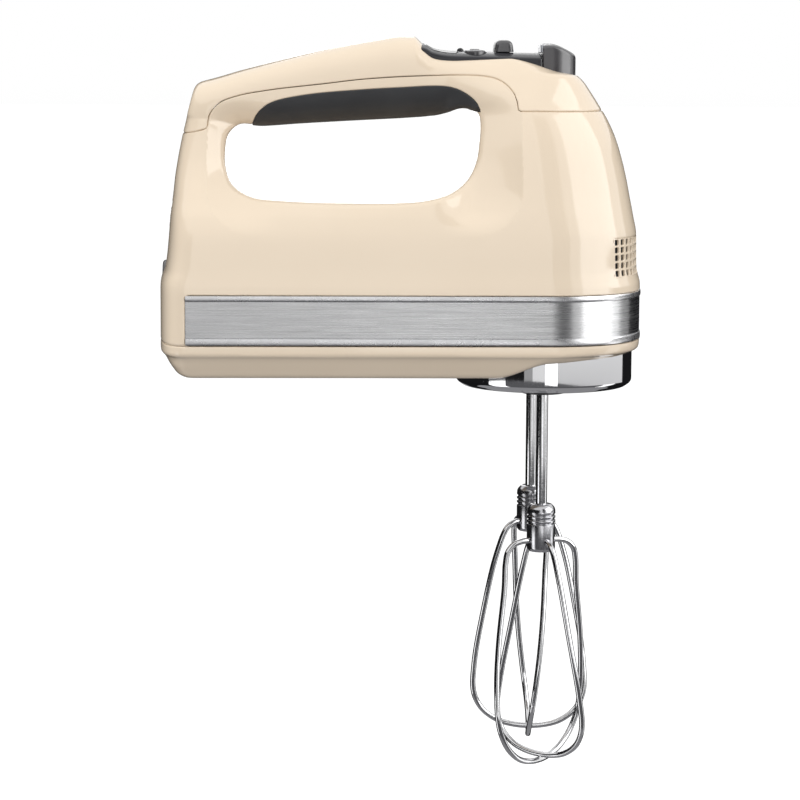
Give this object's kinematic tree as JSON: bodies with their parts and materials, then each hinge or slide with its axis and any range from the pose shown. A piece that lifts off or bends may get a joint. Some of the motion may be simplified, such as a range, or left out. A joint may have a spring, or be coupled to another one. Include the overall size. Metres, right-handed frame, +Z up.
{
  "type": "hand mixer",
  "caption": "Corded electric hand mixer: cream casing with an arched handle, a brushed metal band, a chrome collar, speed and eject buttons, and a pair of twisted wire beaters.",
  "frame": {"origin": "centre of the flat heel rest on the back, level with the middle of the metal band", "axes": "+X towards the nose, +Z up through the handle, beaters point along -Z, -Y is the side shown in the main view"},
  "size_m": [0.2025, 0.0962, 0.3054],
  "materials": {
    "cream_gloss": "glossy moulded cream",
    "brushed_band": "horizontally brushed",
    "polished_bead": "polished",
    "collar_chrome": "mirror chrome",
    "soft_grip": "soft satin overmould",
    "panel_plastic": "semi-gloss",
    "window": "high gloss",
    "button_grey": "satin grey",
    "insert_clear": "milky",
    "dark_plastic": "moulded",
    "nylon": "natural nylon",
    "circuit_board": "solder mask",
    "steel": "ground",
    "lamination": "varnished steel",
    "copper": "enamelled copper",
    "bronze": "sintered",
    "carbon": "graphite",
    "cast_metal": "as cast",
    "beater_steel": "polished stainless",
    "ferrule_steel": "turned stainless"
  },
  "bodies": {
    "housing": {"main_housing": "cream_gloss", "handle_cover": "cream_gloss", "bottom_housing": "cream_gloss", "trim_band": "brushed_band", "trim_beads": "polished_bead", "collar": "collar_chrome", "socket_rings": "dark_plastic", "soft_grip": "soft_grip", "control_panel": "panel_plastic", "display_window": "window", "display_board": "circuit_board", "slider_switch": "dark_plastic", "eject_spring": "steel", "eject_guide": "nylon", "vent_screen": "dark_plastic", "swivel_housing": "dark_plastic", "stator_core": "lamination", "field_coils": "copper", "motor_rear_bracket": "cast_metal", "brush_holders": "bronze", "carbon_brushes": "carbon", "rear_motor_bearing": "steel", "front_motor_bearing": "steel", "nose_bearing": "bronze", "gearbox_base": "cast_metal", "gearbox_bridge": "cast_metal", "lower_spindle_bushes": "bronze", "upper_spindle_bushes": "bronze", "control_board": "circuit_board", "heat_sink": "cast_metal", "housing_screws": "steel", "gearbox_screws": "steel", "motor_screws": "steel"},
    "armature": {"armature_shaft": "steel", "armature_core": "lamination", "armature_windings": "copper", "commutator": "copper", "cooling_fan": "dark_plastic", "worm": "steel"},
    "near_spindle": {"near_spindle": "steel", "near_drive_gear": "nylon"},
    "far_spindle": {"far_spindle": "steel", "far_drive_gear": "nylon"},
    "near_beater": {"near_beater_shaft": "beater_steel", "near_beater_ferrule": "ferrule_steel", "near_beater_wires": "beater_steel"},
    "far_beater": {"far_beater_shaft": "beater_steel", "far_beater_ferrule": "ferrule_steel", "far_beater_wires": "beater_steel"},
    "ejector": {"eject_button": "button_grey", "eject_button_insert": "insert_clear", "eject_rod": "nylon", "eject_yoke": "nylon"},
    "power_slider": {"power_slider": "button_grey"},
    "speed_up_button": {"speed_up_button": "button_grey"},
    "speed_down_button": {"speed_down_button": "button_grey"},
    "cord_swivel": {"cord_swivel": "button_grey"}
  },
  "joints": [
    {"name": "motor_spin", "type": "hinge", "parent": "housing", "child": "armature", "pos_m": [0.1, 0, 0.014], "axis": [1, 0, 0], "continuous": true},
    {"name": "near_beater_spin", "type": "hinge", "parent": "housing", "child": "near_spindle", "pos_m": [0.1593, -0.025, 0], "axis": [0, 0, 1], "continuous": true},
    {"name": "far_beater_spin", "type": "hinge", "parent": "housing", "child": "far_spindle", "pos_m": [0.1593, 0.025, 0], "axis": [0, 0, 1], "continuous": true},
    {"name": "eject_press", "type": "slide", "parent": "housing", "child": "ejector", "axis": [0, 0, -1], "range_m": [0, 0.006], "stiffness_N_per_m": 250, "springref_m": -0.012, "deforming": ["eject_spring"]},
    {"name": "near_beater_drop", "type": "slide", "parent": "near_spindle", "child": "near_beater", "axis": [0, 0, -1], "range_m": [0, 0.006]},
    {"name": "far_beater_drop", "type": "slide", "parent": "far_spindle", "child": "far_beater", "axis": [0, 0, -1], "range_m": [0, 0.006]},
    {"name": "power_slide", "type": "slide", "parent": "housing", "child": "power_slider", "axis": [1, 0, 0], "range_m": [0, 0.008]},
    {"name": "speed_up_press", "type": "slide", "parent": "housing", "child": "speed_up_button", "axis": [0, 0, -1], "range_m": [0, 0.0008], "stiffness_N_per_m": 1200, "springref_m": -0.0006},
    {"name": "speed_down_press", "type": "slide", "parent": "housing", "child": "speed_down_button", "axis": [0, 0, -1], "range_m": [0, 0.0008], "stiffness_N_per_m": 1200, "springref_m": -0.0006},
    {"name": "cord_swivel_turn", "type": "hinge", "parent": "housing", "child": "cord_swivel", "pos_m": [0.005, 0, 0.016], "axis": [1, 0, 0], "range_deg": [-90, 90]}
  ],
  "couplings": [
    {"joint": "near_beater_spin", "follows": "motor_spin", "ratio": 0.045455},
    {"joint": "far_beater_spin", "follows": "motor_spin", "ratio": -0.045455},
    {"joint": "near_beater_drop", "follows": "eject_press", "ratio": 1},
    {"joint": "far_beater_drop", "follows": "eject_press", "ratio": 1}
  ]
}
